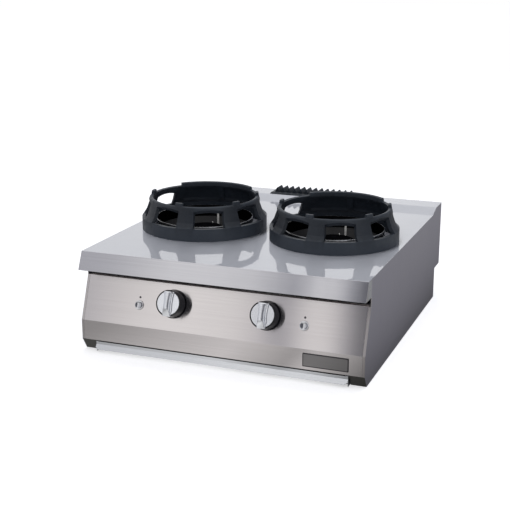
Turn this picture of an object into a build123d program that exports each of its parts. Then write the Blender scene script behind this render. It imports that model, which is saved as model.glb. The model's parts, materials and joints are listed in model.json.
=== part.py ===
from build123d import *
import os
from math import atan2, cos, degrees, hypot, radians, sin, tan

os.makedirs("parts", exist_ok=True)

# Countertop wok range with two burners. Millimetres, +Z up, the front faces -Y.
# The origin is the middle of the outer box, on the surface that the range stands on.

# Case
width = 800.0
body_depth = 865.5
worktop_height = 278.0
worktop_sheet = 2.0
case_sheet = 1.5
light_sheet = 1.2
flange_drop = 30.0
base_flange = 30.0

# Front lip of the worktop
lip_drop = 48.0
lip_lean = 22.0
lip_return = 18.0
rivet_from_edge = 12.0
rivet_drop = 23.0
rivet_radius = 2.4
rivet_head_radius = 4.2
rivet_length = 5.0

# Rear upstand and the step in the lower rear
upstand_rise = 14.5
upstand_slope = 48.0
upstand_top = 77.5
upstand_turn_down = 25.0
step_height = 94.0
step_depth = 66.0

# Control panel: a leaning face over an upright band
panel_set_back = 29.5
panel_top_height = 205.0
crease_reach = 15.0
crease_height = 87.5
panel_bottom_height = 33.0
panel_turn = 14.0
side_return = 7.0
panel_gap = 0.3
foot_set_back = 6.0
foot_width = 41.5

# Burner places: the wok rings stand this far apart
ring_gap = 32.0
burner_from_front = 368.0

# Raised collar round each burner hole, and the well under it
collar_radius = 141.0
collar_height = 30.0
collar_bead = 2.2
collar_foot = 6.0
well_flange = 14.0
well_depth = 38.0
well_floor_radius = 104.0
well_mouth_radius = 92.0

# Cast wok ring: the outside steps in from the base radius on its way up
ring_base_radius = 182.0
ring_band_height = 36.0
ring_shoulder_in = 9.0
ring_shoulder_height = 50.0
ring_neck_in = 17.0
ring_neck_height = 72.0
ring_rim_in = 22.5
ring_height = 94.0
ring_wall = 10.0
ring_bevel = 3.0
left_ring_turn = 5.0

# Raised parts on the ring's rim: four lugs, and the back
raised_height = 8.0
raised_bevel = 2.0
lug_arc = 8.0
lug_angles = (-177.0, -98.5, -36.5, 18.5)
back_rim_start = 45.0
back_rim_arc = 90.0

# Windows through the ring's wall, and the two blind bays at the back
window_pitch = 45.0
window_angles = (-157.5, -112.5, -67.5, -22.5, 22.5, 157.5)
window_centre = 59.5
window_height = 53.0
post_foot_width = 35.0
post_head_width = 41.5
window_flare = 28.0
window_inward = 20.0
window_outward = 8.0
blind_angles = (67.5, 112.5)
blind_arc = 38.5
blind_depth = 4.5

# Burner: cup, venturi tube, cap
cup_radius = 54.0
cup_wall = 6.0
cup_floor_height = 150.0
cup_floor = 8.0
cup_top_height = 262.0
venturi_height = 178.0
venturi_radius = 19.0
venturi_wall = 5.0
venturi_length = 160.0
bell_radius = 27.0
bell_length = 24.0
bell_lip = 2.5
cap_radius = 60.0
cap_rise = 22.0
cap_crown_drop = 2.0
cap_edge_in = 6.0
cap_edge_drop = 8.0
cap_foot_in = 4.0
cap_skirt = 9.0
cap_slots = 18
cap_slot_width = 4.0
cap_slot_bottom = 2.0
cap_slot_top = 7.0
pad_width = 70.0
pad_corner = 5.0

# Crossbars that carry the burners
crossbar_top = 138.0
crossbar_height = 20.0
crossbar_width = 26.0
crossbar_offset = 42.0
burner_bolt_radius = 3.0
burner_bolt_x = 26.0
burner_bolt_head = 4.0
burner_bolt_length = 12.0
bolt_head_ratio = 1.9

# Pilot group at the rear right of each burner
probe_radius_from_centre = 71.2
probe_angle = 79.5
pilot_spread = 18.0
pilot_bracket_height = 226.0
bracket_sheet = 3.0
bracket_depth = 36.0
bracket_shift = 10.0
bracket_end = 10.0
probe_tip_height = 304.0
probe_radius = 3.0
probe_below = 20.0
electrode_tip_height = 276.0
electrode_radius = 4.0
electrode_below = 14.0
electrode_length = 40.0
electrode_wire_radius = 1.2
pilot_radius = 5.0
pilot_below = 8.0
pilot_port_drop = 7.0
pilot_port_height = 4.0

# Knob, bezel, spindle and tap, measured out from the panel's face
knob_from_burner = 66.0
knob_height = 155.0
knob_radius = 36.0
knob_front_radius = 35.0
knob_push = 3.5
knob_base_gap = 1.1
knob_front_out = 40.0
knob_wall = 2.6
knob_round = 1.2
knob_face_radius = 32.0
knob_face_out = 40.6
knob_face_seat = 3.0
grip_out = 46.5
grip_length = 66.0
grip_middle = 17.0
grip_end = 8.0
grip_groove = 3.0
grip_groove_depth = 1.8
hub_radius = 8.0
hub_front = 30.0
hub_inset = 5.0
bezel_radius = 38.5
bezel_gap = 0.6
bezel_out = 5.4
spindle_radius = 4.0
spindle_flat = 1.2
spindle_short = 2.0
spindle_rear_gap = 1.5
spindle_hole_radius = 8.0
tap_radius = 16.0
tap_flange_width = 58.0
tap_flange_depth = 34.0
tap_flange = 4.0
tap_flange_corner = 5.0
tap_end = 58.0
tap_nose = 66.0
tap_nose_wall = 3.0
tap_boss_radius = 10.0
tap_boss_rise = 34.0
tap_leg_radius = 9.0
pilot_boss_in = 30.0
pilot_boss_wall = 2.0
pilot_boss_reach = 18.0
plug_radius = 9.0
plug_front = 20.0
plug_length = 28.0
plug_floor = 4.0
tap_screw_x = 21.0
tap_screw_radius = 1.9
tap_screw_head = 2.0
running_fit = 0.05

# Igniter button, measured out from the panel's face
button_from_burner = 35.0
button_height = 142.0
button_radius = 9.0
button_out = 8.5
button_travel = 6.0
button_bezel_radius = 13.0
button_bezel_out = 3.5
button_bezel_taper = 15.0
button_tube_wall = 1.6
button_rear_gap = 2.0
button_floor_gap = 4.0
dish_radius = 30.0
dish_depth = 2.0
igniter_front = 14.0
igniter_end = 52.0
igniter_nut = 5.0
igniter_nut_ratio = 1.35

# Gas pipes
manifold_radius = 13.5
manifold_drop = 40.0
manifold_in = 45.0
manifold_past_knob = 33.0
manifold_bend = 30.0
supply_from_side = 100.0
supply_fall_start = 110.0
supply_fall_end = 60.0
inlet_height = 52.0
inlet_radius = 10.5
inlet_wall = 3.0
inlet_length = 26.0
inlet_hex = 15.0
inlet_hex_length = 12.0
inlet_hex_gap = 2.0
inlet_shoulder = 0.9
inlet_shoulder_out = 1.0
clamp_from_knob = 60.0
clamp_width = 20.0
clamp_wall = 3.0
clamp_sheet = 2.5
clamp_strap = 4.0
feed_radius = 5.0
feed_bend = 14.0
feed_straight = 30.0
feed_end_straight = 34.0
pilot_pipe_radius = 3.0
pilot_pipe_bend = 9.0
pilot_pipe_straight = 14.0
pilot_pipe_back = 74.0
pilot_pipe_under = 12.0
lead_radius = 2.5
lead_bend = 12.0
lead_straight = 26.0
lead_back = 80.0
lead_aside = 10.0
lead_over = 14.0
lead_turn_up = 38.0
capillary_radius = 1.5
capillary_bend = 9.0
capillary_straight = 14.0
capillary_behind = 26.0

# Injectors in front of the venturi mouths, and their brackets
injector_gap = 12.0
injector_radius = 6.0
injector_hex = 10.0
injector_hex_length = 12.0
injector_front = 4.0
injector_length = 6.0
injector_tip_radius = 5.0
injector_tip_taper = 20.0
injector_sheet = 2.0
injector_plate_height = 22.0
injector_arm_lap = 6.0

# Badge plate, left bare
badge_from_edge = 34.7
badge_width = 122.0
badge_bottom = 41.0
badge_top = 77.5
badge_corner = 2.0
badge_sheet = 1.5
badge_bevel = 0.6

# Rear panel's row of slots, and the rails between the side panels
vent_count = 10
vent_pitch = 60.0
vent_length = 44.0
vent_width = 6.0
vent_rise = 30.0
rail_height = 40.0
rail_depth = 25.0
rail_notch_gap = 4.0
front_rail_height = 26.0

# Drip tray and its runners
tray_sheet = 1.2
tray_from_side = 42.5
tray_pan_step = 4.5
tray_rear_gap = 124.5
tray_floor = 10.8
tray_top = 29.5
tray_wall_top = 26.0
tray_lip_top = 22.0
tray_lip_bottom = 10.0
tray_lip_reach = 9.5
tray_lip_cut = 7.0
tray_lip_root = 0.3
runner_sheet = 1.5
runner_ledge = 19.0
runner_foot = 28.0
runner_cover = 8.0
runner_short = 10.0
seat_gap = 0.3

# Flue grille and duct
grille_x = -10.0
grille_end = 10.0
grille_edge = 2.0
grille_corner = 4.0
grille_plate = 5.0
grille_bevel = 3.0
tooth_pitch = 20.0
tooth_count = 13
tooth_width = 16.0
tooth_rise = 13.5
tooth_crest = 2.5
tooth_depth = 46.0
tooth_root = 1.0
slot_width = 6.0
slot_end = 5.0
duct_inset = 16.0
duct_depth = 52.0
duct_bottom = 112.0

# Worked-out places
half_width = width / 2
burner_x = ring_base_radius + ring_gap / 2
knob_x = burner_x - knob_from_burner
button_x = burner_x + button_from_burner
supply_x = half_width - supply_from_side
knob_base_out = knob_push + knob_base_gap
lean = atan2(panel_set_back + crease_reach, panel_top_height - crease_height)
knob_root = -crease_reach + (knob_height - crease_height) * tan(lean)
knob_reach = grip_out * cos(lean) + grip_length / 2 * sin(lean)
front_edge = -(body_depth + knob_root - knob_reach) / 2
rear_face = front_edge + body_depth
step_face = rear_face - step_depth
lip_front = front_edge - lip_lean
lip_bottom = worktop_height - lip_drop
panel_top_y = front_edge + panel_set_back
crease_y = front_edge - crease_reach
foot_y = front_edge + foot_set_back
upstand_height = worktop_height + upstand_rise
upstand_crest_y = rear_face - upstand_top
upstand_base_y = upstand_crest_y - upstand_slope
upstand_angle = atan2(upstand_rise, upstand_slope)
bend_shift = worktop_sheet * tan(upstand_angle / 2)
worktop_under = worktop_height - worktop_sheet
burner_y = front_edge + burner_from_front
side_inner = half_width - case_sheet
panel_half = half_width - side_return - panel_gap
panel_back_y = crease_y + case_sheet
grille_length = tooth_count * tooth_pitch + 2 * grille_end
duct_length = grille_length - 2 * duct_inset
tray_width = width - 2 * tray_from_side
tray_pan_width = tray_width - 2 * tray_pan_step
tray_length = step_face - crease_y - tray_rear_gap
outward = Vector(0, -cos(lean), sin(lean))
up_panel = Vector(0, sin(lean), cos(lean))
sides = (("left", -1), ("right", 1))


def on_panel(x, height, out=0.0):
    """Plane parallel to the leaning face, out millimetres in front of it."""
    y = crease_y + (height - crease_height) * tan(lean)
    return Plane(origin=Vector(x, y, height) + outward * out, x_dir=(1, 0, 0), z_dir=outward)


def side_outline(x, *points):
    """Closed outline in the side view, at x."""
    with BuildSketch(Plane.YZ.offset(x)) as outline:
        with BuildLine():
            Polyline(*points, close=True)
        make_face()
    return outline.sketch


def folded_sheet(x, thickness, side, *points):
    """Edge of a folded sheet in the side view; the points are its outer face."""
    with BuildSketch(Plane.YZ.offset(x)) as outline:
        with BuildLine():
            Polyline(*points)
            offset(amount=thickness, side=side, closed=True)
        make_face()
    return outline.sketch


def upright_axis(x, y):
    return Axis((x, y, 0), (0, 0, 1))


def radial_plane(x, y, angle=0.0):
    """Upright half plane from the axis at x, y: local X runs outwards, local Y upwards."""
    turn = radians(angle)
    return Plane(origin=(x, y, 0), x_dir=(cos(turn), sin(turn), 0), z_dir=(sin(turn), -cos(turn), 0))


def facing_plane(x, y, z, angle, distance, tilt):
    """Plane that faces outwards and up by the tilt, at a distance from the axis at x, y."""
    turn = radians(angle)
    origin = (x + distance * cos(turn), y + distance * sin(turn), z)
    facing = (cos(turn) * cos(tilt), sin(turn) * cos(tilt), sin(tilt))
    return Plane(origin=origin, x_dir=(-sin(turn), cos(turn), 0), z_dir=facing)


def pipe(radius, bend, *points):
    """Round pipe or wire along straight runs joined by bends."""
    with BuildPart() as run:
        with BuildLine() as route:
            FilletPolyline(*points, radius=bend)
        with BuildSketch(Plane(origin=route.line @ 0, z_dir=route.line % 0)):
            Circle(radius)
        sweep()
    return run.part


def save(piece, name):
    piece.label = name
    export_step(piece, f"parts/{name}.step")


# Worktop: one sheet with lip, upstand, side flanges, lip cheeks and two collars
cheek_points = (
    (lip_front, lip_bottom),
    (front_edge, worktop_height),
    (panel_top_y, worktop_height),
    (panel_top_y, lip_bottom),
)
rivet_y = front_edge + rivet_from_edge
rivet_z = worktop_height - rivet_drop
collar_top = worktop_height + collar_height
collar_inner = collar_radius - worktop_sheet
flue_middle_y = upstand_crest_y + upstand_top / 2

with BuildPart() as worktop:
    extrude(
        folded_sheet(
            -half_width,
            worktop_sheet,
            Side.RIGHT,
            (lip_front + lip_return, lip_bottom),
            (lip_front, lip_bottom),
            (front_edge, worktop_height),
            (upstand_base_y, worktop_height),
            (upstand_crest_y, upstand_height),
            (rear_face, upstand_height),
            (rear_face, upstand_height - upstand_turn_down),
        ),
        amount=width,
    )
    for side, sign in sides:
        flange_x = sign * (side_inner - worktop_sheet / 2) - worktop_sheet / 2
        flange_points = (
            (panel_top_y, worktop_under - flange_drop),
            (panel_top_y, worktop_under),
            (upstand_base_y, worktop_under),
            (upstand_base_y, worktop_under - flange_drop),
        )
        extrude(side_outline(flange_x, *flange_points), amount=worktop_sheet)
        cheek_x = sign * (half_width - worktop_sheet / 2) - worktop_sheet / 2
        extrude(side_outline(cheek_x, *cheek_points), amount=worktop_sheet)
        rivet_face = Plane(origin=(sign * half_width, rivet_y, rivet_z), z_dir=(sign, 0, 0))
        with Locations(rivet_face):
            CounterSinkHole(rivet_radius, rivet_head_radius, depth=worktop_sheet)
        with BuildSketch(radial_plane(sign * burner_x, burner_y)):
            with BuildLine():
                Polyline(
                    (collar_inner, worktop_under),
                    (collar_inner, collar_top),
                    (collar_radius, collar_top),
                    (collar_radius, worktop_height + collar_foot),
                )
                RadiusArc(
                    (collar_radius, worktop_height + collar_foot),
                    (collar_radius + collar_foot, worktop_height),
                    collar_foot,
                )
                Polyline(
                    (collar_radius + collar_foot, worktop_height),
                    (collar_radius + collar_foot, worktop_under),
                    (collar_inner, worktop_under),
                )
            make_face()
            with Locations((collar_radius - worktop_sheet / 2, collar_top)):
                Circle(collar_bead)
        revolve(axis=upright_axis(sign * burner_x, burner_y))
        with BuildSketch(Plane.XY.offset(worktop_under)):
            with Locations((sign * burner_x, burner_y)):
                Circle(collar_inner)
        extrude(amount=worktop_sheet, mode=Mode.SUBTRACT)
    with BuildSketch(Plane.XY.offset(upstand_height - worktop_sheet)):
        with Locations((grille_x, flue_middle_y)):
            Rectangle(duct_length - 2 * light_sheet, duct_depth - 2 * light_sheet)
    extrude(amount=worktop_sheet, mode=Mode.SUBTRACT)
save(worktop.part, "worktop")

with BuildPart() as cheek_rivets:
    for side, sign in sides:
        rivet_head = Plane(origin=(sign * half_width, rivet_y, rivet_z), z_dir=(-sign, 0, 0))
        with BuildSketch(rivet_head):
            Circle(rivet_head_radius - running_fit)
        extrude(amount=rivet_head_radius - rivet_radius, taper=45)
        with BuildSketch(rivet_head):
            Circle(rivet_radius - running_fit)
        extrude(amount=rivet_length)
save(cheek_rivets.part, "cheek_rivets")

# Side panels: the side view's outline, with turned edges at the base, foot, front and rear
side_points = (
    (foot_y, 0),
    (crease_y, panel_bottom_height),
    (crease_y, crease_height),
    (panel_top_y, panel_top_height),
    (panel_top_y, worktop_under),
    (upstand_base_y + bend_shift, worktop_under),
    (upstand_crest_y + bend_shift, upstand_height - worktop_sheet),
    (rear_face - worktop_sheet, upstand_height - worktop_sheet),
    (rear_face - worktop_sheet, upstand_height - upstand_turn_down),
    (rear_face, upstand_height - upstand_turn_down),
    (rear_face, step_height),
    (step_face, step_height),
    (step_face, 0),
)
foot_sheet_depth = case_sheet / cos(atan2(foot_y - crease_y, panel_bottom_height))
foot_points = (
    (foot_y, 0),
    (crease_y, panel_bottom_height),
    (crease_y + foot_sheet_depth, panel_bottom_height),
    (foot_y + foot_sheet_depth, 0),
)
return_points = (
    (crease_y, panel_bottom_height),
    (crease_y, crease_height),
    (panel_top_y, panel_top_height),
)
for side, sign in sides:
    with BuildPart() as side_panel:
        outer_x = sign * half_width
        inner_x = outer_x - sign * case_sheet
        extrude(side_outline(inner_x, *side_points), amount=sign * case_sheet)
        foot_inner_x = outer_x - sign * foot_width
        extrude(side_outline(foot_inner_x, *foot_points), amount=sign * foot_width)
        front_sheet = folded_sheet(outer_x - sign * side_return, case_sheet, Side.RIGHT, *return_points)
        extrude(front_sheet, amount=sign * side_return)
        with BuildSketch(Plane.XY):
            with Locations((outer_x - sign * base_flange / 2, (foot_y + step_face) / 2)):
                Rectangle(base_flange, step_face - foot_y)
        extrude(amount=case_sheet)
    save(side_panel.part, f"side_panel_{side}")

# Control panel: folded sheet between the side returns, with holes for spindles and igniters
with BuildPart() as control_panel:
    extrude(
        folded_sheet(
            -panel_half,
            case_sheet,
            Side.LEFT,
            (panel_top_y + panel_turn, panel_top_height),
            (panel_top_y, panel_top_height),
            (crease_y, crease_height),
            (crease_y, panel_bottom_height),
            (crease_y + panel_turn, panel_bottom_height),
        ),
        amount=2 * panel_half,
    )
    for side, sign in sides:
        with BuildSketch(on_panel(sign * knob_x, knob_height, -2 * case_sheet)):
            Circle(spindle_hole_radius)
            with GridLocations(2 * tap_screw_x, 0, 2, 1):
                Circle(tap_screw_radius + running_fit)
        extrude(amount=3 * case_sheet, mode=Mode.SUBTRACT)
        with BuildSketch(on_panel(sign * button_x, button_height, -2 * case_sheet)):
            Circle(button_radius + button_tube_wall + running_fit)
        extrude(amount=3 * case_sheet, mode=Mode.SUBTRACT)
save(control_panel.part, "control_panel")

badge_x = panel_half - badge_from_edge - badge_width / 2
with BuildPart() as badge_plate:
    with BuildSketch(Plane.XZ.offset(-crease_y)):
        with Locations((badge_x, (badge_bottom + badge_top) / 2)):
            RectangleRounded(badge_width, badge_top - badge_bottom, badge_corner)
    extrude(amount=badge_sheet)
    front_rim = badge_plate.faces().sort_by(Axis.Y)[0].edges()
    chamfer(front_rim, badge_bevel)
save(badge_plate.part, "badge_plate")

# Rear panel follows the step
rail_bottom = case_sheet
with BuildPart() as rear_panel:
    extrude(
        folded_sheet(
            -side_inner,
            light_sheet,
            Side.RIGHT,
            (rear_face, upstand_height - upstand_turn_down),
            (rear_face, step_height),
            (step_face, step_height),
            (step_face, rail_bottom),
        ),
        amount=2 * side_inner,
    )
    with BuildSketch(Plane.XZ.offset(-step_face)):
        with Locations((supply_x, inlet_height)):
            Circle(inlet_radius + inlet_shoulder + running_fit)
    extrude(amount=2 * light_sheet, both=True, mode=Mode.SUBTRACT)
    with BuildSketch(Plane.XZ.offset(-rear_face)):
        with Locations((0, step_height + vent_rise)):
            with GridLocations(vent_pitch, 0, vent_count, 1):
                SlotOverall(vent_length, vent_width)
    extrude(amount=2 * light_sheet, both=True, mode=Mode.SUBTRACT)
save(rear_panel.part, "rear_panel")

# Rails between the side panels
front_rail_bottom = panel_bottom_height + case_sheet
with BuildPart() as front_rail:
    extrude(
        folded_sheet(
            -panel_half,
            light_sheet,
            Side.LEFT,
            (panel_back_y + rail_depth, front_rail_bottom + front_rail_height),
            (panel_back_y, front_rail_bottom + front_rail_height),
            (panel_back_y, front_rail_bottom),
            (panel_back_y + rail_depth, front_rail_bottom),
        ),
        amount=2 * panel_half,
    )
save(front_rail.part, "front_rail")

rail_back_y = step_face - light_sheet
with BuildPart() as rear_rail:
    extrude(
        folded_sheet(
            -side_inner,
            case_sheet,
            Side.RIGHT,
            (rail_back_y - rail_depth, rail_bottom + rail_height),
            (rail_back_y, rail_bottom + rail_height),
            (rail_back_y, rail_bottom),
            (rail_back_y - rail_depth, rail_bottom),
        ),
        amount=2 * side_inner,
    )
    with BuildSketch(Plane.XZ.offset(-rail_back_y)):
        with Locations((supply_x, inlet_height)):
            Circle(inlet_hex + rail_notch_gap)
    extrude(amount=rail_depth, mode=Mode.SUBTRACT)
save(rear_rail.part, "rear_rail")

for place, sign in (("front", -1), ("rear", 1)):
    bar_y = burner_y + sign * crossbar_offset
    with BuildPart() as crossbar:
        extrude(
            folded_sheet(
                -side_inner,
                worktop_sheet,
                Side.RIGHT,
                (bar_y - crossbar_width / 2, crossbar_top - crossbar_height),
                (bar_y - crossbar_width / 2, crossbar_top),
                (bar_y + crossbar_width / 2, crossbar_top),
                (bar_y + crossbar_width / 2, crossbar_top - crossbar_height),
            ),
            amount=2 * side_inner,
        )
        with BuildSketch(Plane.XY.offset(crossbar_top)):
            for side, burner_sign in sides:
                with Locations((burner_sign * burner_x, bar_y)):
                    with GridLocations(2 * burner_bolt_x, 0, 2, 1):
                        Circle(burner_bolt_radius + running_fit)
        extrude(amount=-worktop_sheet, mode=Mode.SUBTRACT)
    save(crossbar.part, f"crossbar_{place}")

# Wells, burners, caps and rings, the same on both sides
ring_seat = worktop_height
ring_top = ring_seat + ring_height
ring_shoulder_radius = ring_base_radius - ring_shoulder_in
ring_neck_radius = ring_base_radius - ring_neck_in
ring_rim_radius = ring_base_radius - ring_rim_in
ring_outer = (
    (ring_base_radius, ring_seat),
    (ring_base_radius, ring_seat + ring_band_height),
    (ring_shoulder_radius, ring_seat + ring_shoulder_height),
    (ring_neck_radius, ring_seat + ring_neck_height),
    (ring_rim_radius, ring_top - ring_bevel),
    (ring_rim_radius - ring_bevel, ring_top),
)
ring_inner = (
    (ring_rim_radius - ring_wall, ring_top - raised_bevel),
    (ring_neck_radius - ring_wall, ring_seat + ring_neck_height),
    (ring_shoulder_radius - ring_wall, ring_seat + ring_shoulder_height),
    (ring_base_radius - ring_wall, ring_seat + ring_band_height),
    (ring_base_radius - ring_wall, ring_seat),
)
raised_top = ring_top + raised_height
raised_points = (
    (ring_rim_radius - ring_wall, ring_top - 2 * ring_bevel),
    (ring_rim_radius - ring_wall, raised_top - raised_bevel),
    (ring_rim_radius - ring_wall + raised_bevel, raised_top),
    (ring_rim_radius - raised_bevel, raised_top),
    (ring_rim_radius, ring_top - 2 * ring_bevel),
)
raised_arcs = [(angle - lug_arc / 2, lug_arc) for angle in lug_angles]
raised_arcs.append((back_rim_start, back_rim_arc))
wall_run = ring_neck_height - ring_band_height
wall_tilt = atan2(ring_neck_in, wall_run)
window_radius = ring_base_radius - ring_neck_in * (window_centre - ring_band_height) / wall_run
window_chord = 2 * window_radius * sin(radians(window_pitch / 2))
window_narrowing = window_inward * tan(radians(window_flare))
window_half_height = window_height / 2 - window_narrowing
window_half_foot = (window_chord - post_foot_width) / 2 - window_narrowing
window_half_head = (window_chord - post_head_width) / 2 - window_narrowing
blind_low = ring_seat + ring_band_height
blind_high = ring_seat + 2 * window_centre - ring_band_height
blind_inside = ring_rim_radius - 4 * ring_wall
blind_points = (
    (blind_inside, blind_low),
    (ring_shoulder_radius - ring_wall + blind_depth, blind_low),
    (ring_shoulder_radius - ring_wall + blind_depth, ring_seat + ring_shoulder_height),
    (ring_neck_radius - ring_wall + blind_depth, ring_seat + ring_neck_height),
    (ring_rim_radius - ring_wall + blind_depth, blind_high),
    (blind_inside, blind_high),
)
mouth_y = burner_y - cup_radius - venturi_length

for side, sign in sides:
    centre_x = sign * burner_x

    with BuildPart() as burner_well:
        with BuildSketch(radial_plane(centre_x, burner_y)):
            with BuildLine():
                Polyline(
                    (collar_radius + well_flange, worktop_under),
                    (collar_inner - worktop_sheet, worktop_under),
                    (well_floor_radius, worktop_under - well_depth),
                    (well_mouth_radius, worktop_under - well_depth),
                )
                offset(amount=light_sheet, side=Side.LEFT, closed=True)
            make_face()
        revolve(axis=upright_axis(centre_x, burner_y))
    save(burner_well.part, f"burner_well_{side}")

    with BuildPart() as burner_body:
        with BuildSketch(Plane.XY.offset(cup_floor_height)):
            with Locations((centre_x, burner_y)):
                Circle(cup_radius)
        extrude(amount=cup_top_height - cup_floor_height)
        with BuildSketch(Plane.XZ.offset(-burner_y)):
            with Locations((centre_x, venturi_height)):
                Circle(venturi_radius)
        extrude(amount=cup_radius + venturi_length)
        with BuildSketch(Plane.XZ.offset(-mouth_y - bell_length)):
            with Locations((centre_x, venturi_height)):
                Circle(venturi_radius)
        with BuildSketch(Plane.XZ.offset(-mouth_y)):
            with Locations((centre_x, venturi_height)):
                Circle(bell_radius)
        loft()
        with BuildSketch(Plane.XY.offset(crossbar_top)):
            with Locations((centre_x, burner_y)):
                with GridLocations(0, 2 * crossbar_offset, 1, 2):
                    RectangleRounded(pad_width, crossbar_width, pad_corner)
        extrude(amount=cup_floor_height + cup_floor - crossbar_top)
        with BuildSketch(Plane.XY.offset(cup_floor_height + cup_floor)):
            with Locations((centre_x, burner_y)):
                Circle(cup_radius - cup_wall)
        extrude(amount=cup_top_height - cup_floor_height, mode=Mode.SUBTRACT)
        with BuildSketch(Plane.XZ.offset(-burner_y)):
            with Locations((centre_x, venturi_height)):
                Circle(venturi_radius - venturi_wall)
        extrude(amount=cup_radius + venturi_length, mode=Mode.SUBTRACT)
        with BuildSketch(Plane.XZ.offset(-mouth_y - bell_length)):
            with Locations((centre_x, venturi_height)):
                Circle(venturi_radius - venturi_wall)
        with BuildSketch(Plane.XZ.offset(-mouth_y)):
            with Locations((centre_x, venturi_height)):
                Circle(bell_radius - bell_lip)
        loft(mode=Mode.SUBTRACT)
        with BuildSketch(Plane.XY.offset(crossbar_top)):
            with Locations((centre_x, burner_y)):
                with GridLocations(2 * burner_bolt_x, 2 * crossbar_offset, 2, 2):
                    Circle(burner_bolt_radius - running_fit)
        extrude(amount=cup_floor_height - crossbar_top, mode=Mode.SUBTRACT)
    save(burner_body.part, f"burner_body_{side}")

    with BuildPart() as burner_cap:
        skirt_radius = cup_radius - cup_wall - seat_gap
        with BuildSketch(radial_plane(centre_x, burner_y)):
            with BuildLine():
                Polyline(
                    (0, cup_top_height + cap_rise),
                    (cap_radius / 2, cup_top_height + cap_rise - cap_crown_drop),
                    (cap_radius - cap_edge_in, cup_top_height + cap_rise - cap_edge_drop),
                    (cap_radius, cup_top_height + cap_slot_top + cap_slot_bottom),
                    (cap_radius - cap_foot_in, cup_top_height),
                    (skirt_radius, cup_top_height),
                    (skirt_radius, cup_top_height - cap_skirt),
                    (skirt_radius - cup_wall, cup_top_height - cap_skirt),
                    (skirt_radius - cup_wall, cup_top_height + cap_slot_top),
                    (0, cup_top_height + cap_slot_top),
                    close=True,
                )
            make_face()
        revolve(axis=upright_axis(centre_x, burner_y))
        with BuildSketch(Plane.XY.offset(cup_top_height + cap_slot_bottom)):
            with Locations((centre_x, burner_y)):
                with PolarLocations(cap_radius - cup_wall, cap_slots):
                    Rectangle(4 * cup_wall, cap_slot_width)
        extrude(amount=cap_slot_top - cap_slot_bottom, mode=Mode.SUBTRACT)
    save(burner_cap.part, f"burner_cap_{side}")

    ring_turn = left_ring_turn if side == "left" else 0.0
    with BuildPart() as wok_ring:
        with BuildSketch(radial_plane(centre_x, burner_y)):
            with BuildLine():
                Polyline(*ring_outer, *ring_inner, close=True)
            make_face()
        revolve(axis=upright_axis(centre_x, burner_y))
        for start_angle, arc in raised_arcs:
            with BuildSketch(radial_plane(centre_x, burner_y, start_angle + ring_turn)):
                with BuildLine():
                    Polyline(*raised_points, close=True)
                make_face()
            revolve(axis=upright_axis(centre_x, burner_y), revolution_arc=arc)
        for angle in window_angles:
            window_z = ring_seat + window_centre
            outer_plane = facing_plane(
                centre_x, burner_y, window_z, angle + ring_turn, window_radius, wall_tilt
            )
            with BuildSketch(outer_plane.offset(-window_inward)):
                with BuildLine():
                    Polyline(
                        (-window_half_foot, -window_half_height),
                        (window_half_foot, -window_half_height),
                        (window_half_head, window_half_height),
                        (-window_half_head, window_half_height),
                        close=True,
                    )
                make_face()
            extrude(amount=window_inward + window_outward, taper=-window_flare, mode=Mode.SUBTRACT)
        for angle in blind_angles:
            with BuildSketch(radial_plane(centre_x, burner_y, angle + ring_turn - blind_arc / 2)):
                with BuildLine():
                    Polyline(*blind_points, close=True)
                make_face()
            revolve(
                axis=upright_axis(centre_x, burner_y),
                revolution_arc=blind_arc,
                mode=Mode.SUBTRACT,
            )
    save(wok_ring.part, f"wok_ring_{side}")

with BuildPart() as burner_bolts:
    with BuildSketch(Plane.XY.offset(crossbar_top - worktop_sheet - burner_bolt_head)):
        with Locations((0, burner_y)):
            with GridLocations(2 * burner_x, 2 * crossbar_offset, 2, 2):
                with GridLocations(2 * burner_bolt_x, 0, 2, 1):
                    RegularPolygon(burner_bolt_radius * bolt_head_ratio, 6)
    extrude(amount=burner_bolt_head)
    with BuildSketch(Plane.XY.offset(crossbar_top - worktop_sheet)):
        with Locations((0, burner_y)):
            with GridLocations(2 * burner_x, 2 * crossbar_offset, 2, 2):
                with GridLocations(2 * burner_bolt_x, 0, 2, 1):
                    Circle(burner_bolt_radius - 2 * running_fit)
    extrude(amount=burner_bolt_length)
save(burner_bolts.part, "burner_bolts")

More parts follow.
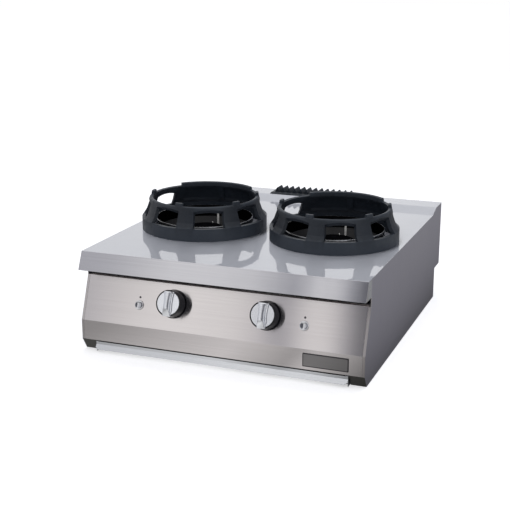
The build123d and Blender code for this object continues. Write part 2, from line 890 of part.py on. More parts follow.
# Pilot group: bracket with pilot burner, thermocouple and spark electrode
for side, sign in sides:
    centre_x = sign * burner_x
    turn = radians(probe_angle)
    probe_x = centre_x + probe_radius_from_centre * cos(turn)
    probe_y = burner_y + probe_radius_from_centre * sin(turn)
    pilot_x = probe_x + pilot_spread
    electrode_x = probe_x - pilot_spread
    hole_fit = 2 * running_fit

    with BuildPart() as pilot_burner:
        with BuildSketch(Plane.XY.offset(pilot_bracket_height)):
            with Locations((probe_x, probe_y - bracket_shift)):
                Rectangle(2 * (pilot_spread + bracket_end), bracket_depth)
            with Locations((centre_x, burner_y)):
                Circle(cup_radius, mode=Mode.SUBTRACT)
            with Locations((probe_x, probe_y)):
                Circle(probe_radius + hole_fit, mode=Mode.SUBTRACT)
            with Locations((electrode_x, probe_y)):
                Circle(electrode_radius + hole_fit, mode=Mode.SUBTRACT)
        extrude(amount=bracket_sheet)
        with BuildSketch(Plane.XY.offset(pilot_bracket_height - pilot_below)):
            with Locations((pilot_x, probe_y)):
                Circle(pilot_radius)
        extrude(amount=cup_top_height - pilot_bracket_height + pilot_below)
        with BuildSketch(Plane.XY.offset(cup_top_height - pilot_port_drop)):
            with Locations((pilot_x - pilot_radius, probe_y)):
                Rectangle(2 * pilot_radius - pilot_port_height / 2, pilot_radius)
        extrude(amount=pilot_port_height, mode=Mode.SUBTRACT)
    save(pilot_burner.part, f"pilot_burner_{side}")

    tap_x = sign * knob_x
    head_root = on_panel(tap_x, knob_height, -manifold_in).origin
    capillary_start = head_root + up_panel * tap_boss_rise
    capillary_up = capillary_start + up_panel * capillary_straight
    capillary_z = capillary_up.Z
    behind = probe_y + capillary_behind
    with BuildPart() as thermocouple:
        with BuildSketch(Plane.XY.offset(pilot_bracket_height - probe_below)):
            with Locations((probe_x, probe_y)):
                Circle(probe_radius)
        extrude(amount=probe_tip_height - pilot_bracket_height + probe_below)
        fillet(thermocouple.faces().sort_by(Axis.Z)[-1].edges(), probe_radius * 0.8)
        add(
            pipe(
                capillary_radius,
                capillary_bend,
                capillary_start,
                capillary_up,
                (tap_x, behind, capillary_z),
                (probe_x, behind, capillary_z),
                (probe_x, probe_y, capillary_z),
                (probe_x, probe_y, pilot_bracket_height - probe_below + capillary_radius),
            )
        )
    save(thermocouple.part, f"thermocouple_{side}")

    with BuildPart() as spark_electrode:
        with BuildSketch(Plane.XY.offset(pilot_bracket_height - electrode_below)):
            with Locations((electrode_x, probe_y)):
                Circle(electrode_radius)
        extrude(amount=electrode_length)
        with BuildSketch(Plane.XY.offset(pilot_bracket_height)):
            with Locations((electrode_x, probe_y)):
                Circle(electrode_wire_radius)
        extrude(amount=electrode_tip_height - pilot_bracket_height)
    save(spark_electrode.part, f"spark_electrode_{side}")

    lead_x = sign * (burner_x + cup_radius + lead_aside)
    lead_z = crossbar_top + lead_over
    igniter_rear = on_panel(sign * button_x, button_height, -igniter_end).origin
    ignition_lead = pipe(
        lead_radius,
        lead_bend,
        igniter_rear,
        igniter_rear - outward * lead_straight,
        (lead_x, igniter_rear.Y + lead_back, lead_z),
        (lead_x, probe_y + lead_over, lead_z),
        (electrode_x, probe_y + lead_over, lead_z),
        (electrode_x, probe_y, crossbar_top + lead_turn_up),
        (electrode_x, probe_y, pilot_bracket_height - electrode_below),
    )
    save(ignition_lead, f"ignition_lead_{side}")

    boss_root = on_panel(tap_x, knob_height, -pilot_boss_in).origin
    boss_end = boss_root + Vector(sign * (tap_radius + pilot_boss_reach), 0, 0)
    pilot_pipe_z = crossbar_top - crossbar_height - pilot_pipe_under
    pilot_pipe = pipe(
        pilot_pipe_radius,
        pilot_pipe_bend,
        boss_end,
        boss_end + Vector(sign * pilot_pipe_straight, 0, 0),
        (pilot_x, boss_end.Y + pilot_pipe_back, pilot_pipe_z),
        (pilot_x, probe_y, pilot_pipe_z),
        (pilot_x, probe_y, pilot_bracket_height - pilot_below),
    )
    save(pilot_pipe, f"pilot_pipe_{side}")

# Injectors in their brackets at the venturi mouths, and the feed pipes
plate_y = mouth_y - injector_gap
with BuildPart() as injector_brackets:
    for side, sign in sides:
        centre_x = sign * burner_x
        with BuildSketch(Plane.XZ.offset(-plate_y)):
            with Locations((centre_x, venturi_height)):
                Rectangle(2 * (bell_radius + injector_sheet), injector_plate_height)
                Circle(injector_radius + running_fit, mode=Mode.SUBTRACT)
        extrude(amount=injector_sheet)
        with BuildSketch(Plane.XZ.offset(-plate_y)):
            with Locations((centre_x, venturi_height)):
                with GridLocations(2 * bell_radius + injector_sheet, 0, 2, 1):
                    Rectangle(injector_sheet, injector_plate_height)
        extrude(amount=-injector_gap - injector_arm_lap)
        with BuildSketch(Plane.XZ.offset(-mouth_y)):
            with Locations((centre_x, venturi_height)):
                Circle(bell_radius)
        extrude(amount=-injector_gap, mode=Mode.SUBTRACT)
save(injector_brackets.part, "injector_brackets")

for side, sign in sides:
    centre_x = sign * burner_x
    with BuildPart() as injector:
        with BuildSketch(Plane.XZ.offset(-plate_y + injector_sheet)):
            with Locations((centre_x, venturi_height)):
                RegularPolygon(injector_hex, 6)
        extrude(amount=injector_hex_length)
        with BuildSketch(Plane.XZ.offset(-plate_y - injector_front)):
            with Locations((centre_x, venturi_height)):
                Circle(injector_radius)
        extrude(amount=injector_front + injector_sheet)
        with BuildSketch(Plane.XZ.offset(-plate_y - injector_front)):
            with Locations((centre_x, venturi_height)):
                Circle(injector_tip_radius)
        extrude(amount=-injector_length, taper=injector_tip_taper)
    save(injector.part, f"injector_{side}")

    nose = on_panel(sign * knob_x, knob_height, -tap_nose).origin
    feed_end_y = plate_y - injector_sheet - injector_hex_length
    feed_pipe = pipe(
        feed_radius,
        feed_bend,
        nose,
        nose - outward * feed_straight,
        (centre_x, feed_end_y - feed_end_straight, venturi_height),
        (centre_x, feed_end_y, venturi_height),
    )
    save(feed_pipe, f"feed_pipe_{side}")

# Manifold and supply pipe, clamps, and the inlet fitting through the rear panel
manifold_centre = on_panel(0, knob_height, -manifold_in).origin - up_panel * manifold_drop
inlet_start_y = step_face - light_sheet - inlet_hex_length - inlet_hex_gap
inlet_shoulder_y = step_face + inlet_shoulder_out
manifold = pipe(
    manifold_radius,
    manifold_bend,
    (-knob_x - manifold_past_knob, manifold_centre.Y, manifold_centre.Z),
    (supply_x, manifold_centre.Y, manifold_centre.Z),
    (supply_x, inlet_start_y - supply_fall_start, manifold_centre.Z),
    (supply_x, inlet_start_y - supply_fall_end, inlet_height),
    (supply_x, inlet_start_y, inlet_height),
)
save(manifold, "gas_manifold")

with BuildPart() as gas_inlet:
    with BuildSketch(Plane.XZ.offset(-inlet_start_y)):
        with Locations((supply_x, inlet_height)):
            RegularPolygon(inlet_hex, 6)
    extrude(amount=-inlet_hex_length)
    with BuildSketch(Plane.XZ.offset(-inlet_start_y)):
        with Locations((supply_x, inlet_height)):
            Circle(inlet_radius + inlet_shoulder)
    extrude(amount=inlet_start_y - inlet_shoulder_y)
    with BuildSketch(Plane.XZ.offset(-inlet_shoulder_y)):
        with Locations((supply_x, inlet_height)):
            Circle(inlet_radius)
    extrude(amount=-inlet_length)
    with BuildSketch(Plane.XZ.offset(-inlet_start_y)):
        with Locations((supply_x, inlet_height)):
            Circle(inlet_radius - inlet_wall)
    extrude(amount=inlet_start_y - inlet_shoulder_y - inlet_length, mode=Mode.SUBTRACT)
save(gas_inlet.part, "gas_inlet")

rail_top = front_rail_bottom + front_rail_height
with BuildPart() as manifold_clamps:
    for side, sign in sides:
        clamp_x = sign * (knob_x - clamp_from_knob)
        strap_front = manifold_centre.Y - clamp_strap / 2
        strap_back = manifold_centre.Y + clamp_strap / 2
        with BuildSketch(Plane.YZ.offset(clamp_x - clamp_width / 2)):
            with Locations((manifold_centre.Y, manifold_centre.Z)):
                Circle(manifold_radius + clamp_wall)
            with BuildLine():
                Polyline(
                    (panel_back_y + clamp_strap, rail_top),
                    (panel_back_y + clamp_strap, rail_top + clamp_sheet),
                    (strap_front, rail_top + clamp_sheet),
                    (strap_front, manifold_centre.Z),
                    (strap_back, manifold_centre.Z),
                    (strap_back, rail_top),
                    close=True,
                )
            make_face()
            with Locations((manifold_centre.Y, manifold_centre.Z)):
                Circle(manifold_radius + running_fit, mode=Mode.SUBTRACT)
        extrude(amount=clamp_width)
save(manifold_clamps.part, "manifold_clamps")

# Gas taps, turning plugs, pushing spindles and knobs
plug_bottom = plug_front + plug_length
spindle_rear = plug_bottom - plug_floor - knob_push - spindle_rear_gap
for side, sign in sides:
    tap_x = sign * knob_x

    with BuildPart() as tap_body:
        with BuildSketch(on_panel(tap_x, knob_height, -case_sheet)):
            RectangleRounded(tap_flange_width, tap_flange_depth, tap_flange_corner)
        extrude(amount=-tap_flange)
        with BuildSketch(on_panel(tap_x, knob_height, -case_sheet)):
            Circle(tap_radius)
        extrude(amount=case_sheet - tap_end)
        with BuildSketch(on_panel(tap_x, knob_height, -tap_end)):
            Circle(feed_radius + tap_nose_wall)
        extrude(amount=tap_end - tap_nose)
        boss_plane = Plane(origin=on_panel(tap_x, knob_height, -manifold_in).origin, z_dir=up_panel)
        with BuildSketch(boss_plane):
            Circle(tap_boss_radius)
        extrude(amount=tap_boss_rise)
        with BuildSketch(boss_plane):
            Circle(tap_leg_radius)
        extrude(amount=-manifold_drop)
        side_root = on_panel(tap_x, knob_height, -pilot_boss_in).origin
        with BuildSketch(Plane(origin=side_root, z_dir=(sign, 0, 0))):
            Circle(pilot_pipe_radius + pilot_boss_wall)
        extrude(amount=tap_radius + pilot_boss_reach)
        with BuildSketch(Plane.YZ.offset(tap_x)):
            with Locations((manifold_centre.Y, manifold_centre.Z)):
                Circle(manifold_radius)
        extrude(amount=2 * tap_boss_radius, both=True, mode=Mode.SUBTRACT)
        with BuildSketch(on_panel(tap_x, knob_height, -plug_bottom - seat_gap)):
            Circle(plug_radius + running_fit)
        extrude(amount=plug_length + seat_gap, mode=Mode.SUBTRACT)
        with BuildSketch(on_panel(tap_x, knob_height, -plug_front)):
            Circle(spindle_radius + spindle_flat)
        extrude(amount=plug_front, mode=Mode.SUBTRACT)
        with BuildSketch(on_panel(tap_x, knob_height, -case_sheet - tap_flange)):
            with GridLocations(2 * tap_screw_x, 0, 2, 1):
                Circle(tap_screw_radius + running_fit)
        extrude(amount=tap_flange, mode=Mode.SUBTRACT)
    save(tap_body.part, f"tap_body_{side}")

    with BuildPart() as tap_plug:
        with BuildSketch(on_panel(tap_x, knob_height, -plug_bottom)):
            Circle(plug_radius)
        extrude(amount=plug_length - seat_gap)
        with BuildSketch(on_panel(tap_x, knob_height, -plug_bottom + plug_floor)):
            Circle(spindle_radius + running_fit)
        extrude(amount=plug_length, mode=Mode.SUBTRACT)
    save(tap_plug.part, f"tap_plug_{side}")

    with BuildPart() as spindle:
        with BuildSketch(on_panel(tap_x, knob_height, -spindle_rear)):
            Circle(spindle_radius)
        extrude(amount=spindle_rear + hub_front - spindle_short)
        with BuildSketch(on_panel(tap_x, knob_height, knob_base_out + hub_inset - seat_gap)):
            with Locations((0, spindle_radius)):
                Rectangle(4 * spindle_radius, 2 * spindle_flat)
        extrude(amount=hub_front, mode=Mode.SUBTRACT)
    save(spindle.part, f"spindle_{side}")

    with BuildPart() as knob_body:
        knob_depth = knob_front_out - knob_base_out
        knob_taper = degrees(atan2(knob_radius - knob_front_radius, knob_depth))
        with BuildSketch(on_panel(tap_x, knob_height, knob_base_out)):
            Circle(knob_radius)
        extrude(amount=knob_depth, taper=knob_taper)
        fillet(knob_body.edges().sort_by(Axis.Y)[0], knob_round)
        with BuildSketch(on_panel(tap_x, knob_height, knob_base_out)):
            Circle(knob_front_radius - knob_wall)
        extrude(amount=hub_front - knob_base_out, mode=Mode.SUBTRACT)
        with BuildSketch(on_panel(tap_x, knob_height, knob_base_out + hub_inset)):
            Circle(hub_radius)
            Circle(spindle_radius + running_fit / 2, mode=Mode.SUBTRACT)
        extrude(amount=hub_front - knob_base_out - hub_inset)
        with BuildSketch(on_panel(tap_x, knob_height, knob_front_out - knob_face_seat)):
            Circle(knob_face_radius + running_fit)
        extrude(amount=2 * knob_face_seat, mode=Mode.SUBTRACT)
    save(knob_body.part, f"knob_{side}")

    with BuildPart() as knob_face:
        with BuildSketch(on_panel(tap_x, knob_height, knob_front_out - knob_face_seat)):
            Circle(knob_face_radius)
        extrude(amount=knob_face_out - knob_front_out + knob_face_seat)
        with BuildSketch(on_panel(tap_x, knob_height, knob_face_out)):
            with BuildLine():
                top_edge = grip_length / 2
                ThreePointArc((-grip_end / 2, -top_edge), (-grip_middle / 2, 0), (-grip_end / 2, top_edge))
                Line((-grip_end / 2, top_edge), (grip_end / 2, top_edge))
                ThreePointArc((grip_end / 2, top_edge), (grip_middle / 2, 0), (grip_end / 2, -top_edge))
                Line((grip_end / 2, -top_edge), (-grip_end / 2, -top_edge))
            make_face()
        extrude(amount=grip_out - knob_face_out)
        with BuildSketch(on_panel(tap_x, knob_height, grip_out)):
            Rectangle(grip_groove, grip_length)
        extrude(amount=-grip_groove_depth, mode=Mode.SUBTRACT)
    save(knob_face.part, f"knob_face_{side}")

with BuildPart() as knob_bezels:
    for side, sign in sides:
        with BuildSketch(on_panel(sign * knob_x, knob_height)):
            Circle(bezel_radius)
            Circle(knob_radius + bezel_gap, mode=Mode.SUBTRACT)
        extrude(amount=bezel_out)
save(knob_bezels.part, "knob_bezels")

with BuildPart() as tap_screws:
    for side, sign in sides:
        with BuildSketch(on_panel(sign * knob_x, knob_height)):
            with GridLocations(2 * tap_screw_x, 0, 2, 1):
                Circle(tap_screw_radius * bolt_head_ratio)
        extrude(amount=tap_screw_head)
        with BuildSketch(on_panel(sign * knob_x, knob_height)):
            with GridLocations(2 * tap_screw_x, 0, 2, 1):
                Circle(tap_screw_radius)
        extrude(amount=-case_sheet - tap_flange)
save(tap_screws.part, "tap_screws")

# Igniters: bezel tube, nut and piezo body, with a dished push button
tube_radius = button_radius + button_tube_wall
with BuildPart() as button_bezels:
    for side, sign in sides:
        place = (sign * button_x, button_height)
        with BuildSketch(on_panel(*place)):
            Circle(button_bezel_radius)
        extrude(amount=button_bezel_out, taper=button_bezel_taper)
        with BuildSketch(on_panel(*place)):
            Circle(tube_radius)
        extrude(amount=-igniter_front)
        with BuildSketch(on_panel(*place, -igniter_front)):
            Circle(button_radius + running_fit)
        extrude(amount=igniter_front + button_bezel_out, mode=Mode.SUBTRACT)
save(button_bezels.part, "button_bezels")

for side, sign in sides:
    place = (sign * button_x, button_height)
    with BuildPart() as piezo_body:
        with BuildSketch(on_panel(*place, -igniter_end)):
            Circle(tube_radius)
        extrude(amount=igniter_end - igniter_front)
        with BuildSketch(on_panel(*place, -igniter_front)):
            Circle(button_radius + running_fit)
        extrude(amount=-button_travel - button_floor_gap, mode=Mode.SUBTRACT)
    save(piezo_body.part, f"piezo_igniter_{side}")

    with BuildPart() as igniter_button:
        with BuildSketch(on_panel(*place, button_rear_gap - igniter_front)):
            Circle(button_radius)
        extrude(amount=igniter_front - button_rear_gap + button_out)
        with Locations(on_panel(*place, button_out + dish_radius - dish_depth)):
            Sphere(dish_radius, mode=Mode.SUBTRACT)
    save(igniter_button.part, f"igniter_button_{side}")

with BuildPart() as igniter_nuts:
    for side, sign in sides:
        with BuildSketch(on_panel(sign * button_x, button_height, -case_sheet)):
            RegularPolygon(tube_radius * igniter_nut_ratio, 6)
            Circle(tube_radius + running_fit, mode=Mode.SUBTRACT)
        extrude(amount=-igniter_nut)
save(igniter_nuts.part, "igniter_nuts")

# Drip tray: pan, upright band and leaning pull lip
tray_front = crease_y
with BuildPart() as drip_tray:
    with BuildSketch(Plane.XY.offset(tray_floor)):
        with Locations((0, tray_front + tray_length / 2)):
            Rectangle(tray_pan_width, tray_length)
    extrude(amount=tray_wall_top - tray_floor)
    with BuildSketch(Plane.XY.offset(tray_floor + tray_sheet)):
        with Locations((0, tray_front + tray_length / 2)):
            Rectangle(tray_pan_width - 2 * tray_sheet, tray_length - 2 * tray_sheet)
    extrude(amount=tray_top, mode=Mode.SUBTRACT)
    with BuildSketch(Plane.XZ.offset(-tray_front)):
        with Locations((0, (tray_floor + tray_top) / 2)):
            Rectangle(tray_width, tray_top - tray_floor)
    extrude(amount=-tray_sheet)
    lip_length = hypot(tray_lip_reach, tray_lip_top - tray_lip_bottom)
    lip_normal = Vector(0, -(tray_lip_top - tray_lip_bottom), tray_lip_reach)
    lip_plane = Plane(origin=(0, tray_front, tray_lip_top), x_dir=(1, 0, 0), z_dir=lip_normal)
    with BuildSketch(lip_plane):
        with BuildLine():
            Polyline(
                (-tray_width / 2, tray_lip_root),
                (tray_width / 2, tray_lip_root),
                (tray_width / 2, tray_lip_cut - lip_length),
                (tray_width / 2 - tray_lip_cut, -lip_length),
                (tray_lip_cut - tray_width / 2, -lip_length),
                (-tray_width / 2, tray_lip_cut - lip_length),
                close=True,
            )
        make_face()
    extrude(amount=-tray_sheet)
save(drip_tray.part, "drip_tray")

runner_front = tray_front + tray_sheet + seat_gap
runner_length = tray_length - runner_short
runner_top = tray_top + runner_sheet
web_x = tray_width / 2
with BuildPart() as tray_runners:
    for side, sign in sides:
        with BuildSketch(Plane.XZ.offset(-runner_front)):
            with BuildLine():
                Polyline(
                    (sign * (web_x - runner_cover), runner_top),
                    (sign * (web_x - runner_cover), tray_top),
                    (sign * (web_x - runner_sheet), tray_top),
                    (sign * (web_x - runner_sheet), tray_floor - seat_gap),
                    (sign * (web_x - runner_ledge), tray_floor - seat_gap),
                    (sign * (web_x - runner_ledge), tray_floor - seat_gap - runner_sheet),
                    (sign * (web_x - runner_sheet), tray_floor - seat_gap - runner_sheet),
                    (sign * (web_x - runner_sheet), case_sheet),
                    (sign * (web_x + runner_foot), case_sheet),
                    (sign * (web_x + runner_foot), case_sheet + runner_sheet),
                    (sign * web_x, case_sheet + runner_sheet),
                    (sign * web_x, runner_top),
                    close=True,
                )
            make_face()
        extrude(amount=-runner_length)
        foot_clear_y = foot_y + foot_sheet_depth + seat_gap
        with BuildSketch(Plane.XY.offset(case_sheet)):
            with Locations((sign * (web_x + foot_width / 2), (runner_front + foot_clear_y) / 2)):
                Rectangle(foot_width, foot_clear_y - runner_front)
        extrude(amount=tray_top, mode=Mode.SUBTRACT)
save(tray_runners.part, "tray_runners")

# Flue duct under the upstand, and the toothed grille over it
duct_top = upstand_height - worktop_sheet
with BuildPart() as flue_duct:
    with BuildSketch(Plane.XY.offset(duct_bottom)):
        with Locations((grille_x, flue_middle_y)):
            Rectangle(duct_length, duct_depth)
            Rectangle(duct_length - 2 * light_sheet, duct_depth - 2 * light_sheet, mode=Mode.SUBTRACT)
    extrude(amount=duct_top - duct_bottom)
save(flue_duct.part, "flue_duct")

grille_depth = upstand_top - 2 * grille_edge
tooth_foot = upstand_height + grille_plate - tooth_root
tooth_top = upstand_height + grille_plate + tooth_rise
with BuildPart() as flue_grille:
    with BuildSketch(Plane.XY.offset(upstand_height)):
        with Locations((grille_x, flue_middle_y)):
            RectangleRounded(grille_length, grille_depth, grille_corner)
    extrude(amount=grille_plate)
    chamfer(flue_grille.faces().sort_by(Axis.Z)[-1].edges(), grille_bevel)
    with BuildSketch(Plane.XZ.offset(-flue_middle_y - tooth_depth / 2)):
        for number in range(tooth_count):
            tooth_x = grille_x + (number - (tooth_count - 1) / 2) * tooth_pitch
            with BuildLine():
                Polyline(
                    (tooth_x - tooth_width / 2, tooth_foot),
                    (tooth_x + tooth_width / 2, tooth_foot),
                    (tooth_x + tooth_crest / 2, tooth_top),
                    (tooth_x - tooth_crest / 2, tooth_top),
                    close=True,
                )
            make_face()
    extrude(amount=tooth_depth)
    with BuildSketch(Plane.XY.offset(upstand_height)):
        with Locations((grille_x, flue_middle_y)):
            with GridLocations(tooth_pitch, 0, tooth_count - 1, 1):
                Rectangle(slot_width, duct_depth - 2 * slot_end)
    extrude(amount=grille_plate, mode=Mode.SUBTRACT)
save(flue_grille.part, "flue_grille")
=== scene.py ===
import json
from math import cos, degrees, radians, sin

import bmesh
import bpy
from mathutils import Matrix, Vector


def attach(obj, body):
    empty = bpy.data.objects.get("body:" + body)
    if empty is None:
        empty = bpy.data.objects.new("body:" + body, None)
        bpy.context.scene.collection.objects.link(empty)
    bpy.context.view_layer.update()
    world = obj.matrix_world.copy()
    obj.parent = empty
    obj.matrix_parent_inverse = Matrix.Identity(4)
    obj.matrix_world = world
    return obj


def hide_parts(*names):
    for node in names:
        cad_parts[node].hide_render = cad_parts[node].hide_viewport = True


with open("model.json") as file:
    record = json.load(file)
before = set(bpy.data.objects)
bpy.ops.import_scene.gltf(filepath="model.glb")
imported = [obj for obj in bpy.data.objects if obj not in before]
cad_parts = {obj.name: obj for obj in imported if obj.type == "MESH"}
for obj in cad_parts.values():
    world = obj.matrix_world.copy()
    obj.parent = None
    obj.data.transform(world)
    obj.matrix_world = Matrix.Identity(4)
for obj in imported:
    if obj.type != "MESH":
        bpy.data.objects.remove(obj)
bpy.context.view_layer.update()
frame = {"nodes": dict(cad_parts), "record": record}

# Camera, as the photograph sees the range: metres, degrees and millimetres
CAMERA_PLACE = (1.04414, -2.86136, 1.05626)
CAMERA_PITCH = 15.729
CAMERA_TURN = 21.0384
CAMERA_LENS = 76.1722
SENSOR = 36.0
CAMERA_REACH = 60.0

# Light levels
BACKGROUND_LEVEL = 1.0
AMBIENT_LEVEL = 0.6
FLOOR_GLOW = 0.465
PAPER_WHITE = 0.94

# Floor: how far it reaches, and how far it lies under the range
FLOOR_REACH = 20.0
FLOOR_DROP = 0.0006

# Lamps: name, place, target, width, height and watts
LAMPS = (
    ("key", (1.1, -2.8, 2.1), (0, 0, 0.2), 1.6, 1.4, 21),
    ("overhead", (0.0, 0.8, 3.2), (0, 0, 0.25), 2.4, 1.2, 18),
)

# Studio walls as the steel reflects them: degrees round from the front to the left, and brightness
STUDIO_WALLS = (
    (-180, 0.42),
    (-110, 0.34),
    (-66, 0.25),
    (-60, 1.4),
    (-42, 1.4),
    (-36, 0.25),
    (-15, 0.2),
    (5, 0.12),
    (15.2, 0.12),
    (16.4, 0.42),
    (17.2, 1.55),
    (18.0, 1.65),
    (18.6, 0.5),
    (19.3, 0.14),
    (20.1, 0.75),
    (22.5, 1.07),
    (26, 1.17),
    (28.5, 1.03),
    (31, 0.72),
    (60, 0.62),
    (120, 0.9),
    (168, 1.0),
    (180, 0.42),
)
CEILING_START = 0.7
CEILING_END = 0.95
CEILING_LEVEL = 1.6

# The dimmer the studio, the cooler its light on the steel
DIM_TINT = (0.9, 0.92, 1.08)

# The light patterns lean: degrees round for each unit of height past the height that the panel reflects
PATTERN_LEAN = 8.0
PANEL_SEES = 0.345

# Studio floor as the steel reflects it: metres from the left to the right, and brightness
STUDIO_FLOOR = (
    (-0.6, 0.4),
    (-0.46, 0.42),
    (-0.25, 0.7),
    (-0.03, 0.92),
    (0.15, 0.5),
    (0.21, 0.8),
    (0.3, 0.5),
    (0.4, 0.15),
    (0.47, 0.23),
    (0.62, 0.36),
    (0.75, 0.42),
    (1.2, 0.42),
)

# Height of the control panel's crease, above which it leans back
CREASE_Z = 0.0875

# Small printed mark over each igniter button
MARK_Z = 0.1617
MARK_RADIUS = 0.003
MARK_SHEET = 0.00012

# Inside a collar the sheet is coloured near black, painted shade for the dark it reflects; its rim, out to
# the second radius, is darkened in patches, painted shade that dims its bright edge
COLLAR_INNER_RADIUS = 0.1396
COLLAR_OUTER_RADIUS = 0.1428

# Painted shade: a darker band round the bare badge's edge
BADGE_RIM = 0.0026

# Painted shade: the side panels' feet are coloured near black in front, up to the panel's lower edge
FOOT_TOP = 0.033

# Knob face, measured out from the panel, and the grip on it: waisted, crowned and rounded
CAD_GRIP_OUT = 0.0465
FACE_OUT = 0.0406
FACE_ROOT_OUT = 0.0376
FACE_RADIUS = 0.0312
FACE_BEVEL = 0.0006
FACE_STEPS = 96
GRIP_ROOT_OUT = 0.0402
GRIP_RISE = 0.0113
GRIP_END_RISE = 0.0006
GRIP_LOWER_LENGTH = 0.0352
GRIP_UPPER_LENGTH = 0.0314
GRIP_WAIST = 0.0074
GRIP_FLARE = 0.0104
GRIP_ROUNDING = 0.0016
GRIP_CROWN = 0.0006
GRIP_FILLET = 0.0052
GRIP_STEPS = 48
CORNER_STEPS = 5
CROWN_STEPS = 8
FILLET_STEPS = 7

# How suddenly the grip falls off at its lower and its upper end
GRIP_LOWER_FALL = 3
GRIP_UPPER_FALL = 60

# From the panel's crease back to the worktop's front edge
PANEL_TO_LIP_EDGE = 0.0154

# The worktop is brushed again this close to its rear edge
REAR_EDGE = 0.0005

# Limits on a normal, past which a face looks to the front or upwards
FACES_FRONT = -0.5
FACES_UP = 0.9


def link(obj):
    bpy.context.scene.collection.objects.link(obj)
    return obj


def aim(obj, place, target):
    obj.location = place
    turn = (Vector(target) - Vector(place)).to_track_quat("-Z", "Y")
    obj.rotation_euler = turn.to_euler()


# ---------------------------------------------------------------- camera
camera = link(bpy.data.objects.new("camera", bpy.data.cameras.new("camera")))
camera.data.lens = CAMERA_LENS
camera.data.sensor_width = SENSOR
camera.data.clip_end = CAMERA_REACH
camera.location = CAMERA_PLACE
camera.rotation_euler = (radians(90 - CAMERA_PITCH), 0.0, radians(CAMERA_TURN))
bpy.context.scene.camera = camera
bpy.context.scene.view_settings.view_transform = "Standard"


# ---------------------------------------------------------------- node helpers
def calculate(tree, kind, first, second):
    """One math node, from sockets or numbers."""
    node = tree.nodes.new("ShaderNodeMath")
    node.operation = kind
    for value, socket in zip((first, second), node.inputs):
        if isinstance(value, (int, float)):
            socket.default_value = value
        else:
            tree.links.new(value, socket)
    return node.outputs[0]


